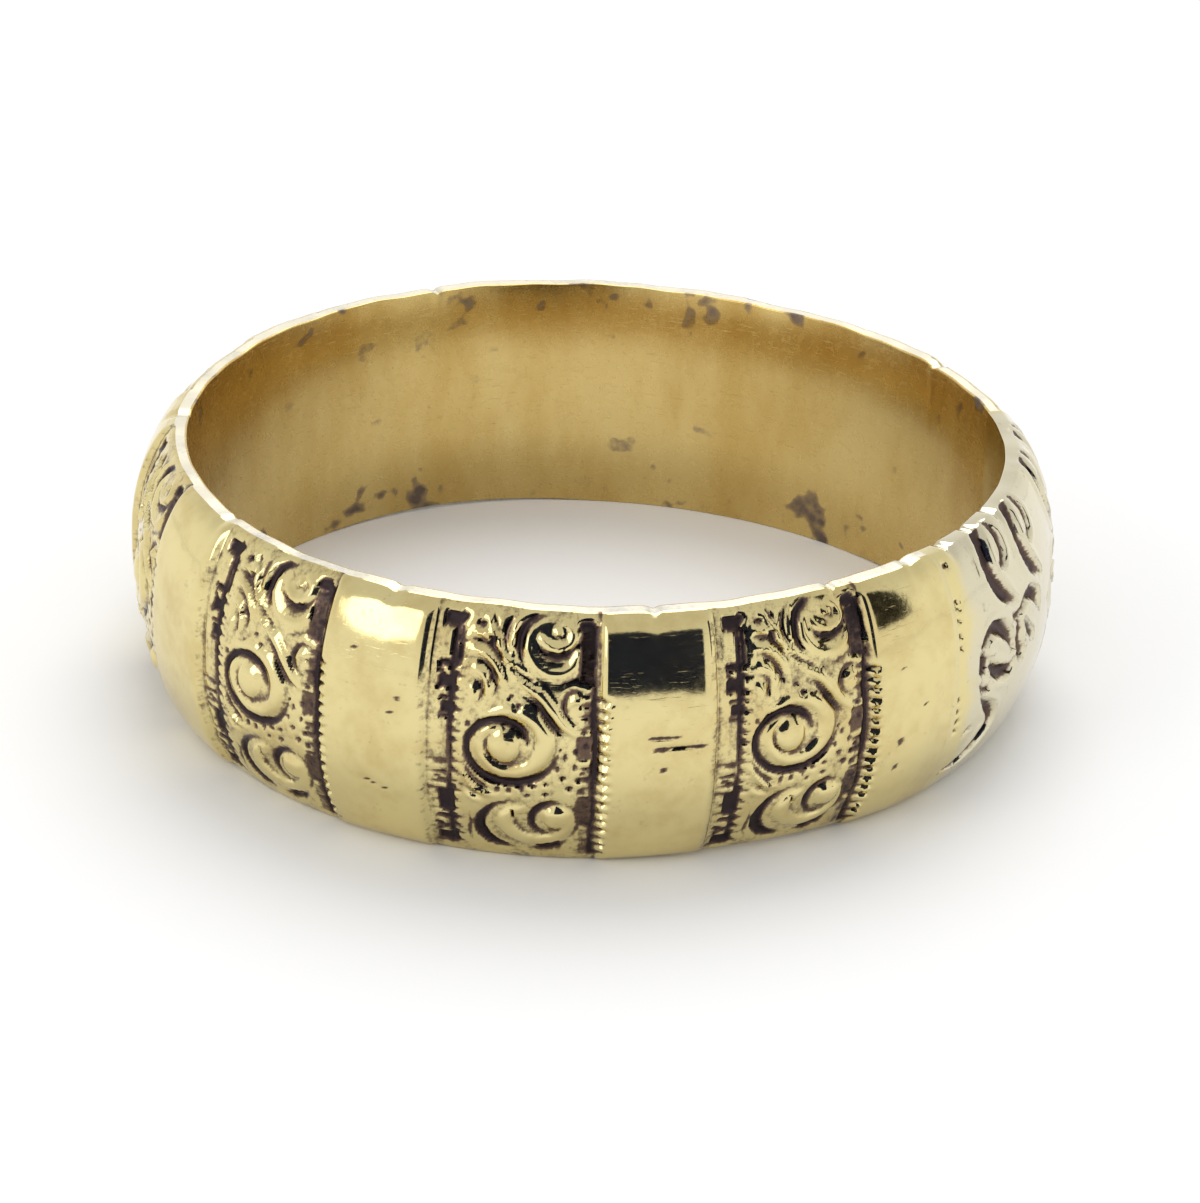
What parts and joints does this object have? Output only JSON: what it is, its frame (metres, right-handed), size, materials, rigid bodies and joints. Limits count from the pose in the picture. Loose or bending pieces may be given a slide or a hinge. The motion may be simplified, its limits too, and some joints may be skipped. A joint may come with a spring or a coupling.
{
  "type": "wedding band",
  "caption": "Half-round wedding band with struck scroll panels between plain ones, gold-filled, with a soldered sizing insert.",
  "frame": {"origin": "centre of the finger hole in the plane of the lower rim, which the band rests on", "axes": "+Z along the finger, from the lower rim to the upper one; -Y towards the panel that faces the viewer; +X to the viewer's right"},
  "size_m": [0.0208, 0.0206, 0.0058],
  "materials": {
    "outer_gold": "polished, with dark tarnish in the struck pattern",
    "core_metal": "worn",
    "inner_gold": "satin, stained",
    "insert_metal": "polished, paler, hand cut with bold scrolls",
    "solder": "dull"
  },
  "bodies": {
    "root": {"outer_gold_skin": "outer_gold", "base_metal_core": "core_metal", "inner_gold_skin": "inner_gold", "sizing_insert": "insert_metal", "first_solder_joint": "solder", "second_solder_joint": "solder"}
  },
  "joints": []
}
